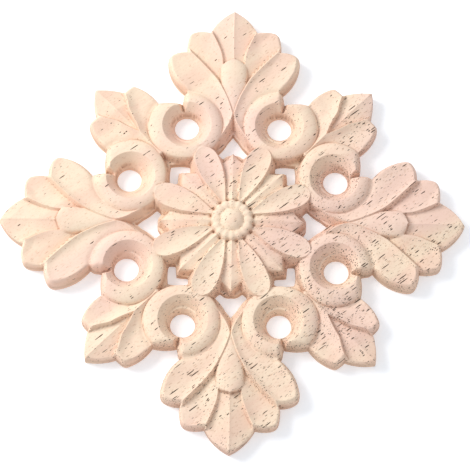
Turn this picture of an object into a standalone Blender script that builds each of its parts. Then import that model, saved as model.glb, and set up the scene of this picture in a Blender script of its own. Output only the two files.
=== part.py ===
"""Carved wooden rosette onlay: one board of pale wood, pierced and carved in low relief.

The face repeats eight times. One eighth is drawn in millimetres, with x across an arm and y
out along it, between the arm's axis (x = 0) and the diagonal (y = x). It is given its height
by rules, mirrored, turned round the centre and closed with a flat back at z = 0.
"""
import math

import bpy
import numpy as np
from mathutils import Vector
from mathutils.geometry import delaunay_2d_cdt

MM = 0.001

# Outline of one eighth at the back, from the arm's tip round to the diagonal's tip
ARM_TIP = (0.0, 100.0)
LEAF_NOTCH = (10.6, 89.6)
UPPER_LOBE_TOP = (17.4, 89.7)
UPPER_LOBE_SIDE = (20.6, 86.0)
LOBE_NOTCH = (20.7, 80.0)
LOWER_LOBE_TOP = (26.4, 79.0)
LOWER_LOBE_SIDE = (29.3, 74.4)
BULB_START = (20.8, 60.2)
BULB_END = (22.1, 56.8)
SCROLL_MEETING = (22.5, 55.0)
TAPER_END = (24.6, 55.4)
CLUSTER_NOTCH = (32.8, 55.0)
SIDE_LOBE_TOP = (42.6, 62.7)
SIDE_LOBE_END = (45.9, 61.9)
CORNER_NOTCH = (48.1, 60.0)
CORNER_TIP = (61.0, 61.0)

# Scroll ring
RING_CENTRE = (20.33, 44.79)
HOLE_RADIUS = 5.3
COLLAR_RADIUS = 6.9
CREST_RADIUS = 10.7
CREST_SHIFT = (-0.25, -0.95)
BAND_RADIUS = 15.9
BAND_SWELL = 1.3
SWELL_BEARING = math.radians(-10.0)
RIM_UNDER_RING = 13.6
CREASE_DEPTH = 1.25
CREASE_REACH = 1.5
BACK_RADIUS = 18.6
TAPER_RADIUS = 12.2
TAPER_TURN = math.radians(40.0)

# Windows
ARM_WINDOW_APEX = (0.0, 41.3)
ARM_WINDOW_SHOULDER = (2.3, 38.5)
ARM_WINDOW_CORNER = (7.0, 32.5)
ARM_WINDOW_HOLLOW = (4.6, 30.2)
ARM_WINDOW_FOOT = (0.0, 32.0)
DIAGONAL_WINDOW_FOOT = (23.4, 23.4)
DIAGONAL_WINDOW_SIDE = (18.3, 23.8)
DIAGONAL_WINDOW_CORNER = (18.2, 26.9)
DIAGONAL_WINDOW_APEX = (26.9, 26.9)

# Flower
PETAL_ANGLE = math.radians(22.5)
PETAL_ROOT = 7.5
PETAL_WIDEST = 26.5
PETAL_TIP = 35.8
PETAL_HALF_WIDTH = 4.95
SEPAL_ROOT = 8.0
SEPAL_ROOT_WIDTH = 2.3
SEPAL_SPREAD = 0.155
SEPAL_TIP = 30.7
BOSS_RADIUS = 9.2
BEAD_RADIUS = 6.9
BUTTON_RADIUS = 5.3

# Bud at the root of each arm's middle leaf
BUD_ROOT = 50.0
BUD_WIDEST = 69.5
BUD_TIP = 75.2
BUD_HALF_WIDTH = 6.0

# Overlapping edges, as they lie on top of the piece below
UPPER_STEP_MIDDLE = (6.3, 80.6)
UPPER_STEP_ROOT = (5.0, 72.0)
LOWER_STEP_MIDDLE = (7.7, 66.2)
LOWER_STEP_ROOT = (0.4, 49.6)
STRIP_MIDDLE = (3.3, 42.7)
STRIP_END = (9.8, 34.5)
CORNER_STEP_MIDDLE = (45.5, 50.8)
CORNER_STEP_ROOT = (40.5, 40.5)
STRAP_END = (30.6, 30.6)

# Heights above the back
LAND_HEIGHT = 2.0
EDGE_LAND = 3.0
WEB_HEIGHT = 3.3
ARM_RIDGE_HEIGHT = 8.0
CORNER_RIDGE_HEIGHT = 7.7
CORNER_ROOT_DIP = 1.1
RIDGE_DROP = 2.1
UPPER_LOBE_CREST = 8.3
LOWER_LOBE_CREST = 9.0
VALLEY_DEPTH = 1.5
VALLEY_REACH = 2.4
LOBE_RIM = 7.3
GOUGE_HEIGHT = 6.7
GOUGE_SHARE = 0.42
SIDE_LOBE_CREST = 8.8
BUD_HEIGHT = 10.0
BUD_EDGE_HEIGHT = 7.3
BUD_ROOT_DOME = 0.35
RING_HEIGHT = 9.5
RING_VALLEY = 6.2
COLLAR_HEIGHT = 4.6
COLLAR_DROP = 2.8
PETAL_HEIGHT = 10.5
PETAL_HOLLOW = 0.95
SEPAL_HEIGHT = 9.9
SEPAL_DROP = 1.2
BOSS_FOOT_HEIGHT = 9.6
BEAD_HEIGHT = 11.4
BUTTON_HEIGHT = 13.0

# Slopes of the carved edges, as rise over run
EDGE_RISE = 4.3
EDGE_POWER = 0.42
WINDOW_RISE = 6.4
WINDOW_POWER = 0.8
STEP_SLOPE = 2.0
PETAL_SLOPE = 3.0

# Spacing of the corners of the facets
CURVE_STEP = 3.2
FILL_STEP = 5.2

WOOD_COLOUR = (0.86, 0.66, 0.50, 1.0)
WOOD_ROUGHNESS = 0.72


def bow(start, end, bulge, step=CURVE_STEP):
    """Curve between two points, bulging to its left by a share of its chord."""
    start, end = np.array(start, float), np.array(end, float)
    chord = end - start
    length = np.hypot(*chord)
    count = max(1, round(length * (1 + 2.0 * bulge * bulge) / step))
    if abs(bulge) > 0.15:
        count = max(3, count)
    t = np.linspace(0.0, 1.0, count + 1)
    normal = np.array([-chord[1], chord[0]])
    return start + np.outer(t, chord) + np.outer(4.0 * bulge * t * (1.0 - t), normal)


def chain(stops, step=CURVE_STEP):
    """Joins bows through (point, bulge of the bow that follows) into one curve."""
    parts = []
    for (start, bulge), (end, _) in zip(stops[:-1], stops[1:]):
        parts.append(bow(start, end, bulge, step)[:-1])
    parts.append(np.array([stops[-1][0]], float))
    return np.vstack(parts)


def circle(centre, radius, count):
    """Closed ring of points."""
    turn = np.linspace(0.0, 2.0 * math.pi, count, endpoint=False)
    return np.column_stack((centre[0] + radius * np.cos(turn), centre[1] + radius * np.sin(turn)))


def sector(centre, radius, first, last, step=CURVE_STEP):
    """Part of a circle between two angles in radians."""
    count = max(2, round(abs(last - first) * radius / step))
    turn = np.linspace(first, last, count + 1)
    return np.column_stack((centre[0] + radius * np.cos(turn), centre[1] + radius * np.sin(turn)))


def closed(loop):
    """Repeats the first point at the end."""
    return np.vstack((loop, loop[:1]))


def distance(points, line):
    """Shortest distance from each point to a polyline."""
    start, run = line[:-1], np.diff(line, axis=0)
    reach = points[:, None, :] - start[None]
    length = np.maximum((run * run).sum(-1), 1e-12)
    share = np.clip((reach * run).sum(-1) / length, 0.0, 1.0)
    gap = reach - share[..., None] * run
    return np.sqrt((gap * gap).sum(-1)).min(1)


def inside(points, loop):
    """True where a point lies in a closed loop."""
    x, y = points[:, :1], points[:, 1:2]
    ax, ay = loop[:, 0], loop[:, 1]
    bx, by = np.roll(ax, -1), np.roll(ay, -1)
    rise = np.where(by == ay, 1.0, by - ay)
    crossed = ((ay > y) != (by > y)) & (x < ax + (y - ay) * (bx - ax) / rise)
    return crossed.sum(1) % 2 == 1


def outside_by(points, loop):
    """Distance to a loop from the outside, and zero inside it."""
    return np.where(inside(points, loop), 0.0, distance(points, closed(loop)))


def along(angle, points):
    """Coordinates out along, and across, a direction turned from the arm's axis."""
    out = points[:, 0] * math.sin(angle) + points[:, 1] * math.cos(angle)
    across = points[:, 0] * math.cos(angle) - points[:, 1] * math.sin(angle)
    return out, across


def blade_width(out, root, widest, tip, half_width, power, tip_power):
    """Half width of a petal or bud at a distance out from the centre."""
    rising = np.clip((out - root) / (widest - root), 0.0, 1.0)
    falling = np.clip((out - widest) / (tip - widest), 0.0, 1.0)
    near = np.sin(0.5 * math.pi * rising ** power)
    far = (1.0 - falling ** tip_power) ** (1.0 / min(tip_power, 2.0))
    return half_width * near * far


def blade(angle, root, widest, tip, half_width, power, tip_power, step=CURVE_STEP):
    """Outline of a petal or bud about its own axis."""
    near = np.linspace(root, widest, max(3, round((widest - root) / step)) + 1)
    count = max(2, round(1.5 * (tip - widest) / step))
    far = widest + (tip - widest) * np.sin(np.linspace(0.0, 0.5 * math.pi, count + 1))[1:]
    out = np.concatenate((near, far))
    half = blade_width(out, root, widest, tip, half_width, power, tip_power)
    right = np.column_stack((out, half))
    left = np.column_stack((out, -half))[1:-1][::-1]
    return turned(angle, np.vstack((right, left)))


def turned(angle, shape):
    """Plan points from points given out along, and across, a direction."""
    x = shape[:, 0] * math.sin(angle) + shape[:, 1] * math.cos(angle)
    y = shape[:, 0] * math.cos(angle) - shape[:, 1] * math.sin(angle)
    return np.column_stack((x, y))


def sepal_width(out):
    """Half width of a sepal: it spreads evenly and ends in a square corner."""
    return np.minimum(SEPAL_ROOT_WIDTH + SEPAL_SPREAD * (out - SEPAL_ROOT), SEPAL_TIP - out)


def sepal(angle, step=CURVE_STEP):
    """Outline of a sepal about its own axis."""
    shoulder = (SEPAL_TIP - SEPAL_ROOT_WIDTH + SEPAL_SPREAD * SEPAL_ROOT) / (1.0 + SEPAL_SPREAD)
    width = SEPAL_TIP - shoulder
    corners = [(SEPAL_ROOT, -SEPAL_ROOT_WIDTH), (shoulder, -width), (SEPAL_TIP, 0.0),
               (shoulder, width), (SEPAL_ROOT, SEPAL_ROOT_WIDTH), (SEPAL_ROOT, -SEPAL_ROOT_WIDTH)]
    return turned(angle, chain([(corner, 0.0) for corner in corners], step)[:-1])


DIAGONAL_ANGLE = math.radians(45.0)
PETAL = (PETAL_ANGLE, PETAL_ROOT, PETAL_WIDEST, PETAL_TIP, PETAL_HALF_WIDTH, 1.05, 2.2)
BUD = (0.0, BUD_ROOT, BUD_WIDEST, BUD_TIP, BUD_HALF_WIDTH, 0.95, 2.6)


def leaf_edge(step=CURVE_STEP):
    return chain([(ARM_TIP, 0.085), (LEAF_NOTCH, 0.0)], step)


def upper_lobe_edge(step=CURVE_STEP):
    return chain([(LEAF_NOTCH, 0.06), (UPPER_LOBE_TOP, 0.2), (UPPER_LOBE_SIDE, 0.06),
                  (LOBE_NOTCH, 0.0)], step)


def lower_lobe_edge(step=CURVE_STEP):
    return chain([(LOBE_NOTCH, 0.07), (LOWER_LOBE_TOP, 0.2), (LOWER_LOBE_SIDE, 0.105),
                  (BULB_START, 0.0)], step)


def scroll_edge(step=CURVE_STEP):
    return chain([(BULB_START, 0.12), (BULB_END, 0.05), (SCROLL_MEETING, 0.05),
                  (TAPER_END, 0.05), (CLUSTER_NOTCH, 0.0)], step)


def side_lobe_edge(step=CURVE_STEP):
    return chain([(CLUSTER_NOTCH, 0.08), (SIDE_LOBE_TOP, 0.26), (SIDE_LOBE_END, 0.05),
                  (CORNER_NOTCH, 0.0)], step)


def corner_leaf_edge(step=CURVE_STEP):
    return chain([(CORNER_NOTCH, 0.06), (CORNER_TIP, 0.0)], step)


def outline(step=CURVE_STEP):
    """Outer edge of one eighth, from the arm's tip to the diagonal's tip."""
    parts = [leaf_edge(step), upper_lobe_edge(step), lower_lobe_edge(step), scroll_edge(step),
             side_lobe_edge(step), corner_leaf_edge(step)]
    return np.vstack([part[:-1] for part in parts] + [np.array([CORNER_TIP])])


def arm_window(step=CURVE_STEP):
    """Half of the window between two rings and the flower, from its apex to its foot."""
    return chain([(ARM_WINDOW_APEX, -0.03), (ARM_WINDOW_SHOULDER, -0.05),
                  (ARM_WINDOW_CORNER, 0.05), (ARM_WINDOW_HOLLOW, -0.16),
                  (ARM_WINDOW_FOOT, 0.0)], step)


def diagonal_window(step=CURVE_STEP):
    """Half of the window on the diagonal, from its foot to its apex."""
    return chain([(DIAGONAL_WINDOW_FOOT, -0.02), (DIAGONAL_WINDOW_SIDE, -0.08),
                  (DIAGONAL_WINDOW_CORNER, 0.05), (DIAGONAL_WINDOW_APEX, 0.0)], step)


def body_loop(step=CURVE_STEP):
    return np.vstack(([(0.0, 0.0)], outline(step)))


def window_loops(step=CURVE_STEP):
    """Windows closed on the far side of the eighth, so the seam is no edge of theirs."""
    arm = arm_window(step)
    arm_beyond = arm[::-1] * (-1.0, 1.0)
    diagonal = diagonal_window(step)
    diagonal_beyond = diagonal[::-1][:, ::-1]
    return [np.vstack((arm, arm_beyond[1:-1])), np.vstack((diagonal, diagonal_beyond[1:-1]))]


def upper_step(step=CURVE_STEP):
    return chain([(LEAF_NOTCH, -0.02), (UPPER_STEP_MIDDLE, -0.06), (UPPER_STEP_ROOT, 0.0)], step)


def lower_step(step=CURVE_STEP):
    return chain([(LOBE_NOTCH, -0.015), (LOWER_STEP_MIDDLE, -0.04), (LOWER_STEP_ROOT, 0.0)], step)


def strip_edge(step=CURVE_STEP):
    return chain([(LOWER_STEP_ROOT, -0.06), (STRIP_MIDDLE, -0.04), (STRIP_END, 0.0)], step)


def corner_step(step=CURVE_STEP):
    return chain([(CORNER_NOTCH, -0.03), (CORNER_STEP_MIDDLE, -0.03), (CORNER_STEP_ROOT, 0.0)],
                 step)


def ring_bearing(point):
    return math.atan2(point[1] - RING_CENTRE[1], point[0] - RING_CENTRE[0])


def upper_lobe_loop():
    under = np.array([(16.0, 72.0), (9.0, 64.0), (3.0, 62.0)])
    return np.vstack((upper_lobe_edge(), under, upper_step()[::-1][:-1]))


def lower_lobe_loop():
    """The lower lobe and the strip it sends round the ring beside the window."""
    first, last = ring_bearing(BULB_START), ring_bearing(STRIP_END) + 2.0 * math.pi
    round_ring = sector(RING_CENTRE, 13.2, last, first)
    return np.vstack((lower_step(), strip_edge()[1:], round_ring, lower_lobe_edge()[::-1][:-1]))


def side_lobe_loop():
    """A side lobe and its half of the strap that runs inward between two rings."""
    first = ring_bearing(CLUSTER_NOTCH)
    last = ring_bearing((30.5, 36.0))
    round_ring = sector(RING_CENTRE, 13.2, last, first)
    strap = np.array([(41.3, 39.7), (31.4, 29.8)])
    return np.vstack((corner_step(), strap, round_ring, side_lobe_edge()[:-1]))


def soft_distance(points, line):
    """Distance to a line with no creases: the inverse cube root of its summed pull."""
    start, run = line[:-1], np.diff(line, axis=0)
    length = np.maximum(np.hypot(run[:, 0], run[:, 1]), 1e-6)
    unit = run / length[:, None]
    reach = points[:, None, :] - start[None]
    ahead = (reach * unit).sum(-1)
    aside = np.abs(reach[..., 0] * unit[:, 1] - reach[..., 1] * unit[:, 0])
    aside = np.maximum(aside, 0.05)

    def pull(s):
        return s / (2.0 * aside ** 2 * (s * s + aside ** 2)) + np.arctan(s / aside) / (2.0 * aside ** 3)

    total = (pull(length - ahead) + pull(ahead)).sum(1)
    return (2.0 / math.pi * total) ** (-1.0 / 3.0)


def scoop(points, crest, rim, crest_height, width):
    """Spoon-shaped hollow: down from a raised edge to a gouge line, then up to the rim."""
    from_crest, from_rim = soft_distance(points, crest), soft_distance(points, rim)
    across = from_crest + from_rim
    share = from_crest / across
    depth = np.minimum(1.0, across / width) ** 1.2
    gouge = crest_height + depth * (GOUGE_HEIGHT - crest_height)
    rim_height = crest_height + depth * (LOBE_RIM - crest_height)
    inner = np.sin(0.5 * math.pi * np.minimum(share / GOUGE_SHARE, 1.0))
    outer = np.clip((share - GOUGE_SHARE) / (1.0 - GOUGE_SHARE), 0.0, 1.0) ** 1.3
    return crest_height + inner * (gouge - crest_height) + outer * (rim_height - gouge)


def ridge_leaf(across, height, half_width):
    """Leaf with a sharp middle ridge and hollow flanks."""
    share = np.clip(np.abs(across) / half_width, 0.0, 1.3)
    return height - RIDGE_DROP * share ** 0.75


def band_radius(points):
    """Outer radius of the ring toward each point: it thins where the scroll ends."""
    turn = np.arctan2(points[:, 1] - RING_CENTRE[1], points[:, 0] - RING_CENTRE[0])
    past = np.mod(ring_bearing(SCROLL_MEETING) - turn, 2.0 * math.pi)
    swell = BAND_SWELL * np.clip(np.cos(turn - SWELL_BEARING), 0.0, 1.0) ** 2
    taper = np.clip(past / TAPER_TURN, 0.0, 1.0)
    return TAPER_RADIUS + (BAND_RADIUS + swell - TAPER_RADIUS) * taper


def ring_height(points):
    """Scroll ring: a funnel down to the hole, a round crest and a band outside it."""
    x, y = points[:, 0] - RING_CENTRE[0], points[:, 1] - RING_CENTRE[1]
    radius = np.hypot(x, y)
    crest_x, crest_y = x - CREST_SHIFT[0], y - CREST_SHIFT[1]
    from_crest = np.hypot(crest_x, crest_y)
    meeting = ring_bearing(SCROLL_MEETING)
    band = band_radius(points)
    wall = np.clip((from_crest - COLLAR_RADIUS) / (CREST_RADIUS - COLLAR_RADIUS), 0.0, 1.0)
    funnel = COLLAR_HEIGHT + (RING_HEIGHT - COLLAR_HEIGHT) * wall ** 0.85
    collar = np.clip((radius - HOLE_RADIUS) / (COLLAR_RADIUS - HOLE_RADIUS), 0.0, 1.0)
    funnel = np.where(wall > 0.0, funnel, COLLAR_HEIGHT - COLLAR_DROP * (1.0 - collar))
    outer = np.clip((from_crest - CREST_RADIUS) / (band - CREST_RADIUS), 0.0, 1.0)
    beyond = np.maximum(radius - band, 0.0)
    skirt = RING_VALLEY + (RING_HEIGHT - RING_VALLEY) * np.sqrt(1.0 - outer ** 2.1)
    skirt = skirt - STEP_SLOPE * beyond
    height = np.where(from_crest < CREST_RADIUS, funnel, skirt)
    seam = np.abs(x * math.sin(meeting) - y * math.cos(meeting))
    ahead = x * math.cos(meeting) + y * math.sin(meeting)
    groove = 4.0 + 2.6 * seam
    return np.where(ahead > COLLAR_RADIUS - 0.5, np.minimum(height, groove), height)


def flower_height(points):
    """Petals over sepals, round a boss with a bead ring and a button."""
    radius = np.hypot(points[:, 0], points[:, 1])
    out, across = along(PETAL_ANGLE, points)
    half = blade_width(out, *PETAL[1:]) + 1e-3
    share = np.clip(np.abs(across) / np.maximum(half, 1.0), 0.0, 1.0)
    length = np.clip((out - PETAL_ROOT) / (PETAL_TIP - PETAL_ROOT), 0.0, 1.0)
    arch = PETAL_HEIGHT - 0.9 * (1.0 - np.minimum(1.0, length / 0.4)) - 0.9 * length ** 4
    dish = PETAL_HOLLOW * (1.0 - share * share) * np.sin(math.pi * np.clip(length, 0.0, 1.0)) ** 0.5
    petal = arch - dish - PETAL_SLOPE * outside_by(points, blade(*PETAL))
    height = np.maximum(petal, 0.0)
    for angle in (0.0, DIAGONAL_ANGLE):
        out, across = along(angle, points)
        length = np.clip((out - SEPAL_ROOT) / (SEPAL_TIP - SEPAL_ROOT), 0.0, 1.0)
        share = np.clip(np.abs(across) / np.maximum(sepal_width(out), 1.5), 0.0, 1.2)
        ridge = SEPAL_HEIGHT - 1.7 * length ** 2 - SEPAL_DROP * share ** 0.85
        height = np.maximum(height, ridge - PETAL_SLOPE * outside_by(points, sepal(angle)))
    foot = BOSS_FOOT_HEIGHT - 3.0 * np.maximum(radius - BOSS_RADIUS, 0.0)
    bead_gap = np.clip(np.abs(radius - BEAD_RADIUS) / (BOSS_RADIUS - BEAD_RADIUS), 0.0, 1.0)
    bead = (BEAD_HEIGHT - BOSS_FOOT_HEIGHT) * np.sqrt(1.0 - bead_gap * bead_gap)
    button_gap = np.clip(radius / BUTTON_RADIUS, 0.0, 1.0)
    button = (BUTTON_HEIGHT - BOSS_FOOT_HEIGHT) * np.sqrt(1.0 - button_gap * button_gap)
    boss = foot + np.maximum(bead, button)
    return np.maximum(height, boss)


def height_of(points):
    """Height of the carved face over points of one eighth, in millimetres."""
    height = np.full(len(points), WEB_HEIGHT)

    leaf = ridge_leaf(points[:, 0], ARM_RIDGE_HEIGHT, 9.5)
    leaf = leaf - 0.8 * np.clip((points[:, 1] - 80.0) / 20.0, 0.0, 1.0)
    leaf = leaf - 4.0 * np.maximum(68.0 - points[:, 1], 0.0)
    height = np.maximum(height, leaf)

    out, across = along(DIAGONAL_ANGLE, points)
    corner = ridge_leaf(across, CORNER_RIDGE_HEIGHT, 9.0)
    corner = corner - 0.6 * np.clip((out - 72.0) / 15.0, 0.0, 1.0)
    corner = corner - CORNER_ROOT_DIP * np.clip((72.0 - out) / 8.0, 0.0, 1.0)
    corner = corner - 4.0 * np.maximum(57.0 - out, 0.0)
    height = np.maximum(height, corner)

    upper = scoop(points, upper_step(), upper_lobe_edge(), UPPER_LOBE_CREST, 9.0)
    upper = upper - VALLEY_DEPTH * np.exp(-distance(points, lower_step()) / VALLEY_REACH)
    height = np.maximum(height, upper - STEP_SLOPE * outside_by(points, upper_lobe_loop()))

    round_ring = sector(RING_CENTRE, RIM_UNDER_RING, ring_bearing(BULB_START),
                        ring_bearing(STRIP_END) + 2.0 * math.pi)
    rim = np.vstack((lower_lobe_edge(), round_ring))
    crest = np.vstack((lower_step(), strip_edge()))
    lower = scoop(points, crest, rim, LOWER_LOBE_CREST, 11.0)
    height = np.maximum(height, lower - STEP_SLOPE * outside_by(points, lower_lobe_loop()))

    round_ring = sector(RING_CENTRE, RIM_UNDER_RING, ring_bearing((31.5, 33.6)),
                        ring_bearing(CLUSTER_NOTCH))
    rim = np.vstack((round_ring, side_lobe_edge()))
    crest = np.vstack((corner_step(), [STRAP_END]))
    side = scoop(points, crest, rim, SIDE_LOBE_CREST, 11.0)
    height = np.maximum(height, side - STEP_SLOPE * outside_by(points, side_lobe_loop()))
    from_ring = np.hypot(points[:, 0] - RING_CENTRE[0], points[:, 1] - RING_CENTRE[1])
    gap = np.maximum(from_ring - band_radius(points), 0.0)
    height = height - CREASE_DEPTH * np.exp(-gap / CREASE_REACH)

    out, across = along(0.0, points)
    half = np.maximum(blade_width(out, *BUD[1:]), 0.8)
    dome = np.sqrt(np.clip(1.0 - (across / half) ** 2, 0.0, 1.0))
    length = np.clip((out - BUD_ROOT) / (BUD_WIDEST - BUD_ROOT), 0.0, 1.0)
    swell = BUD_ROOT_DOME + (1.0 - BUD_ROOT_DOME) * length
    bud = BUD_EDGE_HEIGHT + (BUD_HEIGHT - BUD_EDGE_HEIGHT) * dome * swell
    height = np.maximum(height, bud - 3.0 * outside_by(points, blade(*BUD)))

    height = np.maximum(height, np.where(from_ring < BACK_RADIUS, ring_height(points), 0.0))
    in_funnel = np.hypot(points[:, 0] - RING_CENTRE[0] - CREST_SHIFT[0],
                         points[:, 1] - RING_CENTRE[1] - CREST_SHIFT[1]) < CREST_RADIUS
    height = np.where(in_funnel, ring_height(points), height)
    height = np.maximum(height, flower_height(points))

    wall = EDGE_LAND + EDGE_RISE * distance(points, outline()) ** EDGE_POWER
    for loop in window_loops():
        wall = np.minimum(wall, LAND_HEIGHT + WINDOW_RISE * distance(points, closed(loop))
                          ** WINDOW_POWER)
    return np.minimum(height, wall)


def shifted(line, gap):
    """A curve moved sideways to its left."""
    run = np.gradient(line, axis=0)
    run /= np.hypot(run[:, 0], run[:, 1])[:, None]
    return line + gap * np.column_stack((-run[:, 1], run[:, 0]))


def spaced(line, count):
    """The same curve with evenly spaced points."""
    length = np.concatenate(([0.0], np.cumsum(np.hypot(*np.diff(line, axis=0).T))))
    at = np.linspace(0.0, length[-1], count)
    return np.column_stack((np.interp(at, length, line[:, 0]), np.interp(at, length, line[:, 1])))


def gouge_line(crest, rim, count):
    """Bottom of the spoon between a crest and a rim, clear of its two ends."""
    middle = (1.0 - GOUGE_SHARE) * spaced(crest, count) + GOUGE_SHARE * spaced(rim, count)
    return middle[1:-1]


def band_line():
    """Line along the outer edge of the ring, from the cluster round to the bulb."""
    line = sector(RING_CENTRE, BAND_RADIUS, ring_bearing(CLUSTER_NOTCH),
                  ring_bearing(BULB_START) - 2.0 * math.pi)
    away = (line - RING_CENTRE) / BAND_RADIUS
    return RING_CENTRE + away * band_radius(line)[:, None]


def feature_lines():
    """Every line that a facet's edge follows: (points, closed)."""
    lines = [(outline(), False), (shifted(outline(), -0.75), False),
             (shifted(outline(), -2.0), False)]
    for window in (arm_window(), diagonal_window()):
        lines.append((window, False))
    lines.append((shifted(arm_window(), 1.9)[1:-2], False))
    lines.append((circle(RING_CENTRE, HOLE_RADIUS, 20), True))
    crest_centre = (RING_CENTRE[0] + CREST_SHIFT[0], RING_CENTRE[1] + CREST_SHIFT[1])
    lines.append((circle(RING_CENTRE, COLLAR_RADIUS, 20), True))
    for radius, count in ((CREST_RADIUS - 1.6, 24), (CREST_RADIUS, 24), (CREST_RADIUS + 2.0, 24)):
        lines.append((circle(crest_centre, radius, count), True))
    lines.append((band_line(), False))
    meeting = ring_bearing(SCROLL_MEETING)
    ray = np.array([math.cos(meeting), math.sin(meeting)])
    lines.append((np.array(RING_CENTRE) + np.outer((COLLAR_RADIUS, 10.2), ray), False))
    for line in (upper_step(), lower_step(), corner_step()):
        lines.append((line, False))
        lines.append((shifted(line, -0.9), False))
    lines.append((strip_edge(), False))
    lines.append((gouge_line(lower_step(), np.vstack((lower_lobe_edge(), [(12.5, 58.6)])), 9),
                  False))
    lines.append((gouge_line(upper_step(), upper_lobe_edge(), 6), False))
    lines.append((gouge_line(corner_step(), side_lobe_edge()[::-1], 6), False))
    lines.append((blade(*PETAL), True))
    lines.append((blade(PETAL_ANGLE, PETAL_ROOT + 2.5, PETAL_WIDEST, PETAL_TIP - 2.2,
                        PETAL_HALF_WIDTH - 1.7, 1.1, 2.2, 4.0), True))
    bud_crown = blade(0.0, BUD_ROOT + 4.0, BUD_WIDEST - 1.0, BUD_TIP - 2.0, BUD_HALF_WIDTH - 2.4,
                      0.95, 2.6, 3.0)
    for shape in (blade(*BUD), bud_crown, sepal(0.0), sepal(DIAGONAL_ANGLE)):
        lines.append((shape, True))
    for radius, count in ((BUTTON_RADIUS, 24), (BEAD_RADIUS, 24), (BOSS_RADIUS, 32)):
        lines.append((circle((0.0, 0.0), radius, count), True))
    return lines


def triangulate(corners, edges):
    """Delaunay triangles that keep the given edges."""
    result = delaunay_2d_cdt([Vector(corner) for corner in corners], edges, [], 0, 1e-5)
    return np.array([tuple(v) for v in result[0]]), np.array(result[2]), result


def kept(corners, triangles, step=CURVE_STEP):
    """Triangles that lie in the wood of one eighth."""
    middle = corners[triangles].mean(1)
    keep = inside(middle, body_loop(step)) & (middle[:, 0] > 0.0) & (middle[:, 1] > middle[:, 0])
    for loop in window_loops(step):
        keep &= ~inside(middle, loop)
    keep &= ~inside(middle, circle(RING_CENTRE, HOLE_RADIUS, 20))
    return triangles[keep]


def fill_points(lines):
    """Points of a triangular net, clear of every line."""
    rows = np.arange(0.0, 101.0, FILL_STEP * math.sqrt(0.75))
    net = [(column + 0.5 * FILL_STEP * (index % 2), row) for index, row in enumerate(rows)
           for column in np.arange(0.0, 62.0, FILL_STEP)]
    net = np.array(net)
    net = net[(net[:, 0] > 1.0) & (net[:, 1] > net[:, 0] + 1.4)]
    net = net[inside(net, body_loop())]
    for line, is_closed in lines:
        net = net[distance(net, closed(line) if is_closed else line) > 0.42 * FILL_STEP]
    return net


def eighth_face():
    """Triangles of the carved face of one eighth."""
    lines = feature_lines()
    corners, edges = [], []
    for line, is_closed in lines:
        first = len(corners)
        corners.extend(line.tolist())
        edges.extend((first + i, first + i + 1) for i in range(len(line) - 1))
        if is_closed:
            edges.append((first + len(line) - 1, first))
    for end in ((0.0, 110.0), (78.0, 78.0)):
        first = len(corners)
        corners.extend([(0.0, 0.0), end])
        edges.append((first, first + 1))
    corners.extend(fill_points(lines).tolist())
    corners, triangles, _ = triangulate(corners, edges)
    triangles = kept(corners, triangles)
    return compact(corners, triangles)


def compact(corners, triangles):
    """Drops unused corners and puts those of the two seams exactly on them."""
    used, triangles = np.unique(triangles, return_inverse=True)
    triangles = triangles.reshape(-1, 3)
    corners = corners[used]
    on_axis = np.abs(corners[:, 0]) < 1e-3
    corners[on_axis, 0] = 0.0
    on_diagonal = np.abs(corners[:, 1] - corners[:, 0]) < 1e-3
    corners[on_diagonal, 1] = corners[on_diagonal, 0]
    return corners, triangles


def rim_edges(triangles):
    """Directed edges used by one triangle only."""
    edges = np.vstack((triangles[:, [0, 1]], triangles[:, [1, 2]], triangles[:, [2, 0]]))
    seen = {tuple(edge) for edge in edges.tolist()}
    return [edge for edge in seen if (edge[1], edge[0]) not in seen]


def seam_runs(corners, edges):
    """Straight runs of wood along the axis and along the diagonal, by their end corners."""
    runs = []
    for on_seam in (corners[:, 0] == 0.0, corners[:, 0] == corners[:, 1]):
        ends = [v for edge in edges if on_seam[edge[0]] and on_seam[edge[1]] for v in edge]
        single = sorted((v for v in set(ends) if ends.count(v) == 1), key=lambda v: corners[v, 1])
        runs.extend(zip(single[0::2], single[1::2]))
    return runs


def eighth():
    """Closed eighth without its two seam faces: corners in metres and triangles."""
    corners, top = eighth_face()
    edges = rim_edges(top)
    seam = [(corners[a, 0] == 0.0 and corners[b, 0] == 0.0)
            or (corners[a, 0] == corners[a, 1] and corners[b, 0] == corners[b, 1])
            for a, b in edges]
    rim = [edge for edge, is_seam in zip(edges, seam) if not is_seam]
    runs = seam_runs(corners, edges)
    back_used = sorted({v for edge in rim + runs for v in edge})
    place = {v: i for i, v in enumerate(back_used)}
    back_edges = [(place[a], place[b]) for a, b in rim + runs]
    back_corners, back, result = triangulate(corners[back_used].tolist(), back_edges)
    back = kept(back_corners, back)
    origin = {i: source[0] for i, source in enumerate(result[3]) if source}

    height = height_of(corners)
    top_points = np.column_stack((corners, height))
    base = len(corners)
    back_points = np.column_stack((corners[back_used], np.zeros(len(back_used))))
    points = np.vstack((top_points, back_points)) * MM
    faces = [tuple(face) for face in top.tolist()]
    for a, b, c in back.tolist():
        faces.append((base + origin[c], base + origin[b], base + origin[a]))
    for a, b in rim:
        low_a, low_b = base + place[a], base + place[b]
        faces.append((b, a, low_a))
        faces.append((b, low_a, low_b))
    return points, faces


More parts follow.
